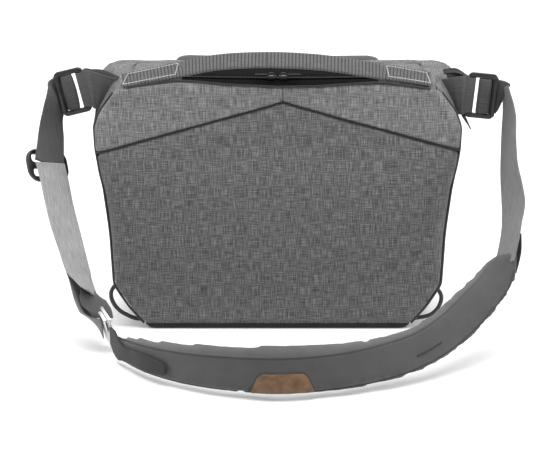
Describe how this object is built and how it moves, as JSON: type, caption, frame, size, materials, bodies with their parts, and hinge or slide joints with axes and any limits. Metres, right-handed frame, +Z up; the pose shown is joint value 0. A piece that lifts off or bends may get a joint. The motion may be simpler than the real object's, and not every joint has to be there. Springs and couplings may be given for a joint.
{
  "type": "camera sling bag",
  "caption": "Box-shaped padded sling bag for a camera, with zip lid, grab handle, inner dividers and a padded swinging carrying strap with adjuster hardware.",
  "frame": {"origin": "centre of the flat base panel's underside", "axes": "+Z up, the front of the bag faces -Y, +X to the right seen from the front"},
  "size_m": [0.4942, 0.3711, 0.2767],
  "materials": {
    "shell_fabric": "matt heather grey coated canvas weave",
    "pad_fabric": "matt fine twill over foam",
    "dark_webbing": "smooth tight nylon weave",
    "light_webbing": "heather seatbelt weave",
    "ribbed_webbing": "ribbed across its length",
    "black_plastic": "satin moulded nylon",
    "zip_tape": "coated tape with coil teeth",
    "lining_fabric": "brushed loop fabric",
    "foam": "closed-cell sheet",
    "aluminium": "satin anodised",
    "leather": "tan brown, plain"
  },
  "bodies": {
    "bag": {"base_panel": "zip_tape", "front_panel": "shell_fabric", "front_yoke_left": "shell_fabric", "front_yoke_right": "shell_fabric", "side_gusset_left": "shell_fabric", "side_gusset_right": "shell_fabric", "back_panel": "shell_fabric", "top_rim": "shell_fabric", "foam_front": "foam", "foam_back": "foam", "foam_base": "foam", "lining_tub": "lining_fabric", "divider_left": "lining_fabric", "divider_right": "lining_fabric", "tablet_sleeve": "lining_fabric", "back_pad_left": "pad_fabric", "back_pad_right": "pad_fabric", "zip_tape_front": "zip_tape", "zip_chain_front": "zip_tape", "handle_patch_left": "ribbed_webbing", "handle_patch_right": "ribbed_webbing", "corner_loop_left": "dark_webbing", "corner_loop_right": "dark_webbing", "anchor_tab_left": "dark_webbing", "anchor_tab_right": "dark_webbing"},
    "lid": {"lid_panel": "shell_fabric", "lid_lining": "lining_fabric", "zip_tape_lid": "zip_tape", "zip_chain_lid": "zip_tape"},
    "slider_left": {"zip_slider_left": "black_plastic"},
    "slider_right": {"zip_slider_right": "black_plastic"},
    "pull_left": {"zip_pull_left": "dark_webbing"},
    "pull_right": {"zip_pull_right": "dark_webbing"},
    "handle": {"grab_handle": "ribbed_webbing"},
    "strap": {"ladder_lock_left": "black_plastic", "ladder_lock_right": "black_plastic", "strap_upper_left": "dark_webbing", "strap_lower_left": "light_webbing", "ring_slider": "black_plastic", "adjuster_frame": "aluminium", "strap_pad": "pad_fabric", "strap_right": "light_webbing", "leather_patch": "leather", "pull_tab_right": "dark_webbing"},
    "adjuster": {"adjuster_lever": "aluminium", "pull_tab_left": "dark_webbing"}
  },
  "joints": [
    {"name": "lid_hinge", "type": "hinge", "parent": "bag", "child": "lid", "pos_m": [0, 0.0443, 0.252], "axis": [-1, 0, 0], "range_deg": [0, 105]},
    {"name": "zip_slide_left", "type": "slide", "parent": "bag", "child": "slider_left", "axis": [-1, 0, 0], "range_m": [0, 0.134]},
    {"name": "zip_slide_right", "type": "slide", "parent": "bag", "child": "slider_right", "axis": [1, 0, 0], "range_m": [0, 0.134]},
    {"name": "zip_pull_hinge_left", "type": "hinge", "parent": "slider_left", "child": "pull_left", "pos_m": [-0.01, -0.0268, 0.25121], "axis": [0, 1, 0], "range_deg": [0, 85]},
    {"name": "zip_pull_hinge_right", "type": "hinge", "parent": "slider_right", "child": "pull_right", "pos_m": [0.01, -0.0268, 0.25121], "axis": [0, -1, 0], "range_deg": [0, 85]},
    {"name": "handle_flex", "type": "hinge", "parent": "bag", "child": "handle", "pos_m": [0, -0.0375, 0.2575], "axis": [1, 0, 0], "range_deg": [-10, 50], "stiffness_Nm_per_rad": 0.05},
    {"name": "strap_swing", "type": "hinge", "parent": "bag", "child": "strap", "pos_m": [0, -0.015, 0.23], "axis": [-1, 0, 0], "range_deg": [0, 170]},
    {"name": "adjuster_flip", "type": "hinge", "parent": "strap", "child": "adjuster", "pos_m": [-0.16955, -0.14001, 0.02636], "axis": [0.147, 0.5071, -0.8492], "range_deg": [0, 20]}
  ]
}
